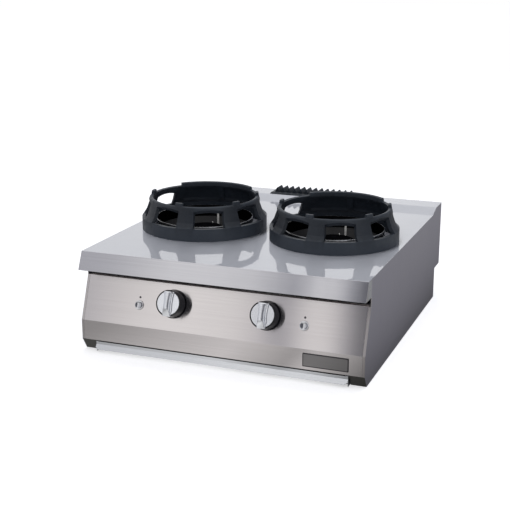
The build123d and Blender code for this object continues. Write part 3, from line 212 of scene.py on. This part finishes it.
class Shade:
    """Short names for building one material's nodes."""

    def __init__(self, name):
        self.material = bpy.data.materials.new(name)
        self.material.use_nodes = True
        self.tree = self.material.node_tree
        self.shader = self.tree.nodes["Principled BSDF"]
        coordinates = self.tree.nodes.new("ShaderNodeTexCoord")
        self.place = coordinates.outputs["Object"]

    def put(self, socket, value):
        self.shader.inputs[socket].default_value = value

    def new(self, kind, **settings):
        node = self.tree.nodes.new(kind)
        for key, value in settings.items():
            setattr(node, key, value)
        return node

    def join(self, source, target):
        self.tree.links.new(source, target)

    def stretched(self, scale):
        mapping = self.new("ShaderNodeMapping")
        mapping.inputs["Scale"].default_value = scale
        self.join(self.place, mapping.inputs["Vector"])
        return mapping.outputs["Vector"]

    def noise(self, scale=1.0, detail=3.0, rough=0.55, stretch=(1, 1, 1)):
        node = self.new("ShaderNodeTexNoise")
        node.inputs["Scale"].default_value = scale
        node.inputs["Detail"].default_value = detail
        node.inputs["Roughness"].default_value = rough
        self.join(self.stretched(stretch), node.inputs["Vector"])
        return node.outputs["Fac"]

    def spread(self, value, low, high, start=0.3, end=0.7):
        node = self.new("ShaderNodeMapRange")
        node.inputs["From Min"].default_value = start
        node.inputs["From Max"].default_value = end
        node.inputs["To Min"].default_value = low
        node.inputs["To Max"].default_value = high
        self.join(value, node.inputs["Value"])
        return node.outputs["Result"]

    def blend(self, factor, first, second):
        node = self.new("ShaderNodeMix", data_type="RGBA")
        self.join(factor, node.inputs["Factor"])
        for colour, socket in ((first, 6), (second, 7)):
            if isinstance(colour, tuple):
                node.inputs[socket].default_value = (*colour, 1.0)
            else:
                self.join(colour, node.inputs[socket])
        return node.outputs[2]

    def math(self, kind, first, second):
        return calculate(self.tree, kind, first, second)

    def bump(self, height, distance, strength=1.0, rounding=0.0):
        node = self.new("ShaderNodeBump")
        node.inputs["Strength"].default_value = strength
        node.inputs["Distance"].default_value = distance
        self.join(height, node.inputs["Height"])
        if rounding:
            edge = self.new("ShaderNodeBevel", samples=4)
            edge.inputs["Radius"].default_value = rounding
            self.join(edge.outputs["Normal"], node.inputs["Normal"])
        self.join(node.outputs["Normal"], self.shader.inputs["Normal"])

    def smear(self, direction, amount):
        """Stretch the reflections along a direction of the object."""
        vector = self.new("ShaderNodeCombineXYZ")
        for axis, value in zip("XYZ", direction):
            vector.inputs[axis].default_value = value
        self.join(vector.outputs["Vector"], self.shader.inputs["Tangent"])
        self.put("Anisotropic", amount)

    def axes(self):
        node = self.new("ShaderNodeSeparateXYZ")
        self.join(self.place, node.inputs["Vector"])
        return node.outputs["X"], node.outputs["Y"], node.outputs["Z"]

    def near_burner(self, centre, radius):
        """1 within a radius of either burner's axis; the burners mirror each other over x = 0."""
        x, y, _ = self.axes()
        aside = self.math("SUBTRACT", self.math("ABSOLUTE", x, 0.0), centre.x)
        ahead = self.math("SUBTRACT", y, centre.y)
        squares = self.math("ADD", self.math("POWER", aside, 2.0), self.math("POWER", ahead, 2.0))
        return self.math("LESS_THAN", self.math("SQRT", squares, 0.0), radius)

    def facing(self, axis, limit):
        """1 on the faces whose normal runs past a limit along an axis."""
        coordinates = self.new("ShaderNodeTexCoord")
        normal = self.new("ShaderNodeSeparateXYZ")
        self.join(coordinates.outputs["Normal"], normal.inputs["Vector"])
        return self.math("LESS_THAN" if limit < 0 else "GREATER_THAN", normal.outputs[axis], limit)

    def border(self, low, high, width):
        """1 within a width of the upright rectangle between two corners."""
        x, _, z = self.axes()
        middle, half = (low + high) / 2, (high - low) / 2
        aside = self.math("ABSOLUTE", self.math("SUBTRACT", x, middle.x), 0.0)
        above = self.math("ABSOLUTE", self.math("SUBTRACT", z, middle.z), 0.0)
        ends = self.math("GREATER_THAN", aside, half.x - width)
        return self.math("MAXIMUM", ends, self.math("GREATER_THAN", above, half.z - width))

    def worn_edges(self, colour, edge_colour, start=0.53, end=0.6):
        """Lighter rims where the form turns sharply."""
        geometry = self.new("ShaderNodeNewGeometry")
        rims = self.spread(geometry.outputs["Pointiness"], 0.0, 1.0, start, end)
        return self.blend(rims, colour, edge_colour)


def times(colour, factor):
    return tuple(min(1.0, channel * factor) for channel in colour)


def brushed(name, colour, rough, along, across, anisotropic=0.9, rounding=0.0008, patches=()):
    """Sheet brushed along one direction, with faint wipe marks; reflections smear across the grain.

    Each patch holds a mask, as a function of the shade, its colour, and how metallic it is.
    """
    shade = Shade(name)
    fine = tuple(2.5 if axis == along else 420.0 for axis in "xyz")
    broad = tuple(0.8 if axis == along else 60.0 for axis in "xyz")
    grain = shade.noise(scale=1.0, detail=2.0, rough=0.6, stretch=fine)
    bands = shade.noise(scale=1.0, detail=3.0, rough=0.5, stretch=broad)
    wipes = shade.noise(scale=3.2, detail=4.0, rough=0.55)
    tone = shade.blend(shade.spread(grain, 0, 1), times(colour, 0.95), times(colour, 1.04))
    banded = shade.blend(shade.spread(bands, 0, 1), times(colour, 0.985), times(colour, 1.015))
    mixed = shade.new("ShaderNodeMix", data_type="RGBA")
    mixed.inputs["Factor"].default_value = 0.5
    shade.join(tone, mixed.inputs[6])
    shade.join(banded, mixed.inputs[7])
    shine = shade.spread(wipes, rough * 0.88, rough * 1.14)
    shade.join(shine, shade.shader.inputs["Roughness"])
    sheet, metallic = mixed.outputs[2], 1.0
    shade.put("Metallic", metallic)
    for mask_of, patch_colour, patch_metallic in patches:
        mask = mask_of(shade)
        sheet = shade.blend(mask, sheet, patch_colour)
        if patch_metallic < 1:
            metallic = shade.math("SUBTRACT", metallic, shade.math("MULTIPLY", mask, 1 - patch_metallic))
            shade.join(metallic, shade.shader.inputs["Metallic"])
    shade.join(sheet, shade.shader.inputs["Base Color"])
    shade.smear(across, anisotropic)
    shade.bump(grain, 0.00001, 0.3, rounding)
    return shade.material


def polished(name, colour, brushed_colour, painted_shade_colour, lip_y, rear_y, burner):
    """Top sheet: mirror finish on top, brushed on the lip and at the rear, with painted shade inside the
    collars and on their rims.
    """
    shade = Shade(name)
    swirls = shade.noise(scale=9.0, detail=5.0, rough=0.6, stretch=(1, 1, 0.3))
    haze = shade.noise(scale=2.1, detail=3.0, rough=0.5)
    grain = shade.noise(scale=1.0, detail=2.0, rough=0.6, stretch=(2.5, 420, 420))
    _, y, _ = shade.axes()
    ends = shade.math("ADD", shade.math("LESS_THAN", y, lip_y), shade.math("GREATER_THAN", y, rear_y))
    # Painted shade: near black inside each collar
    collar_painted_shade = shade.near_burner(burner, COLLAR_INNER_RADIUS)
    tone = shade.blend(shade.spread(haze, 0, 1), times(colour, 0.97), times(colour, 1.03))
    brush = shade.blend(shade.spread(grain, 0, 1), times(brushed_colour, 0.97), times(brushed_colour, 1.04))
    sheet = shade.blend(ends, tone, brush)
    # Painted shade: the collar's rim is darkened in patches, dimming its bright edge
    rim = shade.math("SUBTRACT", shade.near_burner(burner, COLLAR_OUTER_RADIUS), collar_painted_shade)
    patchy_darkening = shade.spread(shade.noise(scale=8.0, detail=2.0, rough=0.5), 0.3, 0.95, start=0.42, end=0.58)
    sheet = shade.blend(shade.math("MULTIPLY", rim, patchy_darkening), sheet, times(painted_shade_colour, 3))
    shade.join(shade.blend(collar_painted_shade, sheet, painted_shade_colour), shade.shader.inputs["Base Color"])
    dull = shade.math("MULTIPLY", ends, -0.29)
    shine = shade.math("ADD", shade.spread(swirls, 0.38, 0.46), dull)
    shine = shade.math("ADD", shine, shade.math("MULTIPLY", collar_painted_shade, 0.3))
    shade.join(shine, shade.shader.inputs["Roughness"])
    shade.put("Metallic", 1.0)
    bare = shade.math("ADD", ends, collar_painted_shade)
    shade.join(shade.math("SUBTRACT", 1.0, bare), shade.shader.inputs["Coat Weight"])
    shade.put("Coat Roughness", 0.03)
    shade.put("Coat IOR", 1.8)
    shade.smear((0, 1, 0.3), 0.95)
    ripples = shade.noise(scale=5.0, detail=2.0, rough=0.5)
    shade.bump(ripples, 0.00012, 0.35, 0.0012)
    return shade.material


def cast(name, colour, edge_colour, rough, specular=0.55, grit=0.0004):
    """Sand-cast iron under a thin dark enamel."""
    shade = Shade(name)
    grains = shade.noise(scale=420.0, detail=3.0, rough=0.6)
    lumps = shade.noise(scale=60.0, detail=3.0, rough=0.55)
    clouds = shade.noise(scale=11.0, detail=3.0, rough=0.5)
    tone = shade.blend(shade.spread(clouds, 0, 1), times(colour, 0.82), times(colour, 1.2))
    speckled = shade.blend(shade.spread(grains, 0, 0.35, start=0.5, end=0.75), tone, times(colour, 1.9))
    worn = shade.worn_edges(speckled, edge_colour)
    shade.join(worn, shade.shader.inputs["Base Color"])
    shade.join(shade.spread(lumps, rough * 0.85, rough * 1.15), shade.shader.inputs["Roughness"])
    shade.put("Specular IOR Level", specular)
    height = shade.math("ADD", shade.math("MULTIPLY", lumps, 1.6), grains)
    shade.bump(height, grit, 0.55, 0.0014)
    return shade.material


def machined(name, colour, rough, metallic=1.0, grime=None, rounding=0.0004):
    """Turned, drawn or plated metal with a little tarnish."""
    shade = Shade(name)
    stains = shade.noise(scale=38.0, detail=4.0, rough=0.6)
    lines = shade.noise(scale=1.0, detail=2.0, rough=0.5, stretch=(260, 260, 900))
    dark = grime or times(colour, 0.7)
    tone = shade.blend(shade.spread(stains, 0, 1, start=0.4, end=0.75), colour, dark)
    shade.join(tone, shade.shader.inputs["Base Color"])
    shade.join(shade.spread(stains, rough * 0.8, rough * 1.35), shade.shader.inputs["Roughness"])
    shade.put("Metallic", metallic)
    shade.bump(lines, 0.00003, 0.4, rounding)
    return shade.material


def moulded(name, colour, rough, coat=0.0, grit=0.00004, specular=0.5):
    """Moulded plastic, glaze or rubber with a fine orange-peel skin."""
    shade = Shade(name)
    skin = shade.noise(scale=700.0, detail=2.0, rough=0.5)
    dust = shade.noise(scale=24.0, detail=4.0, rough=0.6)
    tone = shade.blend(shade.spread(dust, 0, 1, start=0.45, end=0.8), colour, times(colour, 1.35))
    shade.join(tone, shade.shader.inputs["Base Color"])
    shade.join(shade.spread(dust, rough * 0.85, rough * 1.25), shade.shader.inputs["Roughness"])
    if coat:
        shade.put("Coat Weight", coat)
        shade.put("Coat Roughness", 0.04)
    shade.put("Specular IOR Level", specular)
    shade.bump(skin, grit, 0.4, 0.0006)
    return shade.material


# ---------------------------------------------------------------- materials by the record's slots
def corners(node):
    """Lowest and highest corner of a node, in the shared frame."""
    box = [Vector(corner) for corner in frame["nodes"][node].bound_box]
    low = Vector(min(corner[axis] for corner in box) for axis in range(3))
    high = Vector(max(corner[axis] for corner in box) for axis in range(3))
    return low, high


cap_low, cap_high = corners("burner_cap_right")
burner_centre = (cap_low + cap_high) / 2
panel_low, _ = corners("control_panel")
_, sheet_high = corners("worktop")
badge_low, badge_high = corners("badge_plate")


def front_strip(shade):
    return shade.facing("Y", FACES_FRONT)


# Painted shade on the front of the side panels' feet
def painted_shade_foot(shade):
    _, _, z = shade.axes()
    return shade.math("MULTIPLY", front_strip(shade), shade.math("LESS_THAN", z, FOOT_TOP))


# Painted light: the panel's turned-in top is pale and not metallic, to light the dark gap under the lip
def turned_in_painted_light(shade):
    return shade.facing("Z", FACES_UP)


# Painted shade: a darker band round the badge's edge
def badge_painted_shade(shade):
    return shade.border(badge_low, badge_high, BADGE_RIM)


PANEL_TONE = (0.585, 0.553, 0.552)
# Painted light for the turned-in top in the gap under the lip
TURNED_IN_PAINTED_LIGHT = (0.9, 0.8, 0.76)
FOOT_PAINTED_SHADE = (0.03, 0.029, 0.024)
BADGE_PAINTED_SHADE_TONE = (0.06, 0.057, 0.06)
UP = (0, 0, 1)
ALONG = (0, 1, 0)
ACROSS = (1, 0, 0)
looks = {
    "worktop_steel": polished(
        "polished worktop",
        (0.45, 0.463, 0.512),
        (0.5, 0.495, 0.52),
        (0.012, 0.012, 0.013),
        panel_low.y + PANEL_TO_LIP_EDGE,
        sheet_high.y - REAR_EDGE,
        burner_centre,
    ),
    "panel_steel": brushed(
        "brushed front",
        PANEL_TONE,
        0.13,
        "x",
        UP,
        anisotropic=1.0,
        patches=((turned_in_painted_light, TURNED_IN_PAINTED_LIGHT, 0.0),),
    ),
    # Painted shade: the side sheet is a darker, cooler copy of the front panel's steel; its front faces
    # take the panel's tone, a little darker
    "side_steel": brushed(
        "brushed side painted shade",
        (0.44, 0.43, 0.505),
        0.34,
        "z",
        ALONG,
        anisotropic=0.6,
        patches=((front_strip, times(PANEL_TONE, 0.9), 1.0), (painted_shade_foot, FOOT_PAINTED_SHADE, 0.0)),
    ),
    "probe_steel": machined("bright probe", (0.85, 0.84, 0.8), 0.35, metallic=0.2),
    "well_black": moulded("black enamel", (0.008, 0.008, 0.009), 0.45, specular=0.2),
    "tray_steel": brushed("pale sheet", (0.6, 0.61, 0.635), 0.25, "x", UP, anisotropic=0.7),
    "frame_steel": brushed("galvanised sheet", (0.36, 0.37, 0.39), 0.42, "x", UP, anisotropic=0.4),
    "cast_black": cast(
        "enamelled casting", (0.0095, 0.0133, 0.0195), (0.03, 0.038, 0.05), 0.5, specular=0.45
    ),
    "cast_burner": cast(
        "burner casting", (0.0025, 0.0025, 0.003), (0.006, 0.006, 0.007), 0.85, specular=0.0
    ),
    "brass": machined("brass", (0.62, 0.44, 0.19), 0.28, grime=(0.34, 0.22, 0.1)),
    "pipe_steel": machined("drawn pipe", (0.45, 0.45, 0.46), 0.38),
    "copper": machined("copper pipe", (0.6, 0.3, 0.18), 0.3, grime=(0.3, 0.15, 0.1)),
    "knob_black": moulded("glossy black", (0.005, 0.005, 0.007), 0.16, specular=0.35),
    "knob_silver": brushed(
        "satin silver", (0.8, 0.81, 0.84), 0.22, "z", ACROSS, anisotropic=0.4, rounding=0.0
    ),
    "chrome": machined("chrome", (0.66, 0.66, 0.68), 0.12),
    "badge_metal": brushed(
        "dark plate",
        (0.23, 0.222, 0.222),
        0.3,
        "x",
        UP,
        anisotropic=0.8,
        patches=((badge_painted_shade, BADGE_PAINTED_SHADE_TONE, 1.0),),
    ),
    "white_ceramic": moulded("glazed ceramic", (0.78, 0.76, 0.71), 0.2, coat=0.5),
    "black_plastic": moulded("black plastic", (0.02, 0.02, 0.021), 0.5),
    "lead_red": moulded("silicone lead", (0.26, 0.03, 0.025), 0.55),
    "screw_steel": machined("zinc plate", (0.56, 0.57, 0.6), 0.28),
}
mark_look = moulded("printed mark", (0.05, 0.05, 0.055), 0.5)

slot_of = {entry["node"]: entry["material_slot"] for entry in frame["record"]["subparts"]}
for node, obj in frame["nodes"].items():
    obj.data.materials.clear()
    obj.data.materials.append(looks[slot_of[node]])


# ---------------------------------------------------------------- small printed marks over the buttons
def disc(name, radius, depth, matrix, steps=48):
    mesh = bpy.data.meshes.new(name)
    shape = bmesh.new()
    bmesh.ops.create_cone(
        shape, cap_ends=True, segments=steps, radius1=radius, radius2=radius, depth=depth, matrix=matrix
    )
    shape.to_mesh(mesh)
    shape.free()
    return link(bpy.data.objects.new(name, mesh))


joints = {joint["name"]: joint for joint in frame["record"]["behaviour"]["joints"]}
for side in ("left", "right"):
    outward = -Vector(joints[f"igniter_push_{side}"]["axis"])
    button_low, button_high = corners(f"igniter_button_{side}")
    x = (button_low.x + button_high.x) / 2
    y = panel_low.y - (MARK_Z - CREASE_Z) * outward.z / outward.y
    centre = Vector((x, y, MARK_Z)) + outward * MARK_SHEET / 2
    facing = Matrix.Translation(centre) @ outward.to_track_quat("Z", "Y").to_matrix().to_4x4()
    mark = disc(f"igniter_mark_{side}", MARK_RADIUS, MARK_SHEET, facing)
    mark.data.materials.append(mark_look)
    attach(mark, "case")


# ---------------------------------------------------------------- knob faces, with the photograph's grip
def arc(centre_x, centre_out, radius, start, end, steps):
    """Points on an arc, from one angle to another, in degrees."""
    turns = (radians(start + (end - start) * step / (steps - 1)) for step in range(steps))
    return [(centre_x + radius * cos(turn), centre_out + radius * sin(turn)) for turn in turns]


def grip_section(share):
    """Outline of the grip across the knob; share runs from -1 at its lower end to 1 at its upper."""
    fall = GRIP_LOWER_FALL if share < 0 else GRIP_UPPER_FALL
    rise = GRIP_RISE * (1 - abs(share) ** fall) + GRIP_END_RISE
    half = GRIP_WAIST + (GRIP_FLARE - GRIP_WAIST) * share**2
    rounding = min(GRIP_ROUNDING, rise * 0.8)
    top = FACE_OUT + rise
    left = arc(rounding - half, top - rounding, rounding, 180, 90, CORNER_STEPS)
    right = arc(half - rounding, top - rounding, rounding, 90, 0, CORNER_STEPS)
    crown = []
    for step in range(1, CROWN_STEPS):
        across = -1 + 2 * step / CROWN_STEPS
        crown.append((across * (half - rounding), top + GRIP_CROWN * (1 - across**2)))
    fillet = min(GRIP_FILLET, rise * 0.5)
    into = arc(-half - fillet, FACE_OUT + fillet, fillet, 270, 360, FILLET_STEPS)
    away = arc(half + fillet, FACE_OUT + fillet, fillet, 180, 270, FILLET_STEPS)
    skirt = half + fillet
    return [(-skirt, GRIP_ROOT_OUT), *into, *left, *crown, *right, *away, (skirt, GRIP_ROOT_OUT)]


def knob_face(name, matrix):
    """Silver disc with a waisted grip that runs over the knob's black rim at both ends."""
    shape = bmesh.new()
    depth = FACE_OUT - FACE_ROOT_OUT
    middle = Matrix.Translation((0, 0, FACE_ROOT_OUT + depth / 2))
    bmesh.ops.create_cone(
        shape,
        cap_ends=True,
        segments=FACE_STEPS,
        radius1=FACE_RADIUS,
        radius2=FACE_RADIUS,
        depth=depth,
        matrix=middle,
    )
    front_edges = [edge for edge in shape.edges if all(vert.co.z > FACE_OUT - 1e-6 for vert in edge.verts)]
    bmesh.ops.bevel(shape, geom=front_edges, offset=FACE_BEVEL, segments=3, affect="EDGES")
    rows = []
    for step in range(GRIP_STEPS + 1):
        share = -1 + 2 * step / GRIP_STEPS
        along = share * (GRIP_LOWER_LENGTH if share < 0 else GRIP_UPPER_LENGTH)
        rows.append([shape.verts.new((x, along, out)) for x, out in grip_section(share)])
    for row, following in zip(rows, rows[1:]):
        for first, second, third, fourth in zip(row, row[1:], following[1:], following):
            shape.faces.new((first, second, third, fourth))
        shape.faces.new((row[0], following[0], following[-1], row[-1]))
    shape.faces.new(rows[0])
    shape.faces.new(tuple(reversed(rows[-1])))
    bmesh.ops.recalc_face_normals(shape, faces=shape.faces)
    bmesh.ops.transform(shape, matrix=matrix, verts=shape.verts)
    mesh = bpy.data.meshes.new(name)
    shape.to_mesh(mesh)
    shape.free()
    mesh.shade_smooth()
    mesh.set_sharp_from_angle(angle=radians(35))
    return link(bpy.data.objects.new(name, mesh))


for side in ("left", "right"):
    hinge = joints[f"tap_turn_{side}"]
    outward = Vector(hinge["axis"])
    right = Vector((1, 0, 0))
    up = outward.cross(right)
    cad_face = frame["nodes"][f"knob_face_{side}"]
    reach = max(vertex.co.dot(outward) for vertex in cad_face.data.vertices)
    place = Vector(hinge["pos_m"])
    origin = place + outward * (reach - CAD_GRIP_OUT - place.dot(outward))
    facing = Matrix((right, up, outward)).transposed().to_4x4()
    face = knob_face(f"knob_face_look_{side}", Matrix.Translation(origin) @ facing)
    face.data.materials.append(looks["knob_silver"])
    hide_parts(f"knob_face_{side}")
    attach(face, f"knob_set_{side}")


# ---------------------------------------------------------------- floor, world and lamps
def by_ray(tree, direct, mirrored, indirect):
    """One level for rays from the camera, another for reflections, a third for the rest."""
    path = tree.nodes.new("ShaderNodeLightPath")
    seen = calculate(tree, "MAXIMUM", path.outputs["Is Camera Ray"], path.outputs["Is Transmission Ray"])
    unseen = calculate(tree, "SUBTRACT", 1.0, seen)
    glossy = calculate(tree, "MULTIPLY", path.outputs["Is Glossy Ray"], unseen)
    rest = calculate(tree, "SUBTRACT", unseen, glossy)
    total = calculate(tree, "MULTIPLY", seen, direct)
    total = calculate(tree, "ADD", total, calculate(tree, "MULTIPLY", glossy, mirrored))
    return calculate(tree, "ADD", total, calculate(tree, "MULTIPLY", rest, indirect))


def profile(tree, value, stops):
    """Brightness along a value, from pairs of value and brightness."""
    low, high = stops[0][0], stops[-1][0]
    ramp = tree.nodes.new("ShaderNodeValToRGB")
    marks = ramp.color_ramp.elements
    while len(marks) < len(stops):
        marks.new(0.5)
    for mark, (place, brightness) in zip(marks, stops):
        mark.position = (place - low) / (high - low)
        mark.color = (brightness, brightness, brightness, 1)
    share = calculate(tree, "DIVIDE", calculate(tree, "SUBTRACT", value, low), high - low)
    tree.links.new(share, ramp.inputs["Fac"])
    return ramp.outputs["Color"]


floor_mesh = bpy.data.meshes.new("floor")
floor_sides = ((-1, -1), (1, -1), (1, 1), (-1, 1))
floor_corners = [(x * FLOOR_REACH, y * FLOOR_REACH, -FLOOR_DROP) for x, y in floor_sides]
floor_mesh.from_pydata(floor_corners, [], [(0, 1, 2, 3)])
floor = link(bpy.data.objects.new("floor", floor_mesh))
paper = bpy.data.materials.new("floor paper")
paper.use_nodes = True
nodes = paper.node_tree.nodes
links = paper.node_tree.links
nodes.clear()

# White paper to the eye and to the lamps; the steel reflects the studio floor instead
output = nodes.new("ShaderNodeOutputMaterial")
dull = nodes.new("ShaderNodeBsdfDiffuse")
dull.inputs["Color"].default_value = (PAPER_WHITE, PAPER_WHITE, PAPER_WHITE, 1)
glow = nodes.new("ShaderNodeEmission")
links.new(by_ray(paper.node_tree, FLOOR_GLOW, 0.0, 0.0), glow.inputs["Strength"])
added = nodes.new("ShaderNodeAddShader")
links.new(dull.outputs[0], added.inputs[0])
links.new(glow.outputs[0], added.inputs[1])
place = nodes.new("ShaderNodeTexCoord")
across = nodes.new("ShaderNodeSeparateXYZ")
links.new(place.outputs["Object"], across.inputs["Vector"])
mirrored = nodes.new("ShaderNodeEmission")
links.new(profile(paper.node_tree, across.outputs["X"], STUDIO_FLOOR), mirrored.inputs["Strength"])
path = nodes.new("ShaderNodeLightPath")
chosen = nodes.new("ShaderNodeMixShader")
links.new(path.outputs["Is Glossy Ray"], chosen.inputs["Fac"])
links.new(added.outputs[0], chosen.inputs[1])
links.new(mirrored.outputs[0], chosen.inputs[2])
links.new(chosen.outputs[0], output.inputs["Surface"])
floor_mesh.materials.append(paper)

world = bpy.data.worlds.new("studio")
bpy.context.scene.world = world
world.use_nodes = True
sky = world.node_tree.nodes["Background"]


def studio(tree):
    """Brightness of the studio in each direction: walls by the compass, and a white ceiling."""
    coordinates = tree.nodes.new("ShaderNodeTexCoord")
    split = tree.nodes.new("ShaderNodeSeparateXYZ")
    tree.links.new(coordinates.outputs["Generated"], split.inputs["Vector"])
    left = calculate(tree, "MULTIPLY", split.outputs["X"], -1.0)
    front = calculate(tree, "MULTIPLY", split.outputs["Y"], -1.0)
    compass = calculate(tree, "MULTIPLY", calculate(tree, "ARCTAN2", left, front), degrees(1))
    above = calculate(tree, "SUBTRACT", split.outputs["Z"], PANEL_SEES)
    compass = calculate(tree, "SUBTRACT", compass, calculate(tree, "MULTIPLY", above, PATTERN_LEAN))
    wall = profile(tree, compass, STUDIO_WALLS)
    ceiling = tree.nodes.new("ShaderNodeMapRange")
    ceiling.inputs["From Min"].default_value = CEILING_START
    ceiling.inputs["From Max"].default_value = CEILING_END
    tree.links.new(split.outputs["Z"], ceiling.inputs["Value"])
    share = ceiling.outputs["Result"]
    walls = calculate(tree, "MULTIPLY", wall, calculate(tree, "SUBTRACT", 1.0, share))
    return calculate(tree, "ADD", walls, calculate(tree, "MULTIPLY", share, CEILING_LEVEL))


sky_level = by_ray(world.node_tree, BACKGROUND_LEVEL, studio(world.node_tree), AMBIENT_LEVEL)
world.node_tree.links.new(sky_level, sky.inputs["Strength"])
tint = world.node_tree.nodes.new("ShaderNodeMix")
tint.data_type = "RGBA"
tint.inputs[6].default_value = (*DIM_TINT, 1.0)
tint.inputs[7].default_value = (1.0, 1.0, 1.0, 1.0)
world.node_tree.links.new(sky_level, tint.inputs["Factor"])
world.node_tree.links.new(tint.outputs[2], sky.inputs["Color"])


def lamp(name, place, target, width, height, power):
    light = bpy.data.lights.new(name, "AREA")
    light.shape = "RECTANGLE"
    light.size = width
    light.size_y = height
    light.energy = power
    obj = link(bpy.data.objects.new(name, light))
    obj.visible_glossy = False
    aim(obj, place, target)


for settings in LAMPS:
    lamp(*settings)
